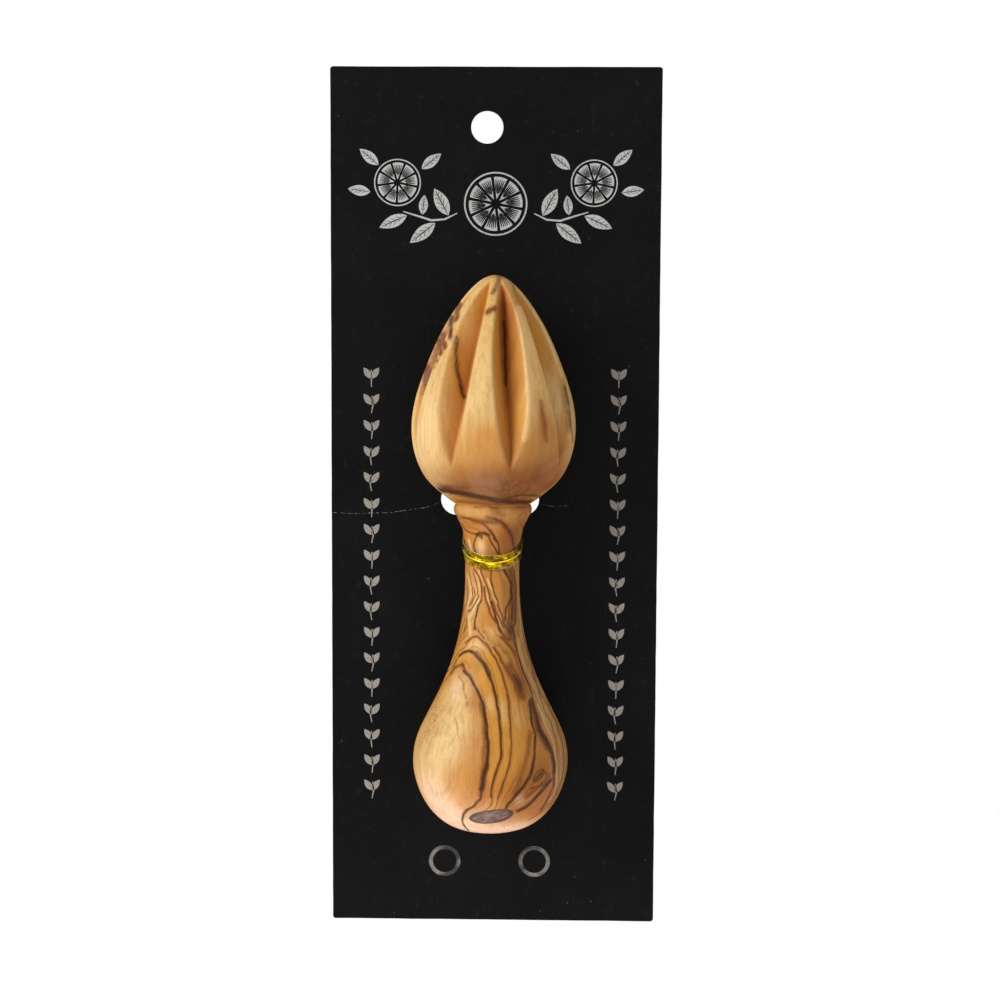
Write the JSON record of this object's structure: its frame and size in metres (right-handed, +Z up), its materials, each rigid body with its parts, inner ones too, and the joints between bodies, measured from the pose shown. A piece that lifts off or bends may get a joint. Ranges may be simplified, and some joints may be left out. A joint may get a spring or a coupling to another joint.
{
  "type": "wooden citrus reamer on a hanging card",
  "caption": "Turned wooden citrus reamer with a fluted pointed head and a bulb handle, tied to a stiff hanging card by a flat foil twist tie.",
  "frame": {"origin": "centre of the hanging hole, in the front face of the card", "axes": "+X right as seen from the front, +Y back through the card, +Z up along the card and the reamer's axis"},
  "size_m": [0.0876, 0.0516, 0.23],
  "materials": {
    "olive_wood": "oiled, satin",
    "black_card": "laminated, satin",
    "gold_foil": "metallised gold film, glossy",
    "tie_wire_steel": "bare wire"
  },
  "bodies": {
    "card": {"backing_card": "black_card", "tie_strip": "gold_foil", "tie_wire": "tie_wire_steel"},
    "reamer": {"reamer": "olive_wood"}
  },
  "joints": [
    {"name": "reamer_turn", "type": "hinge", "parent": "card", "child": "reamer", "pos_m": [0.0023, -0.02145, -0.1142], "axis": [0, 0, 1], "continuous": true}
  ]
}
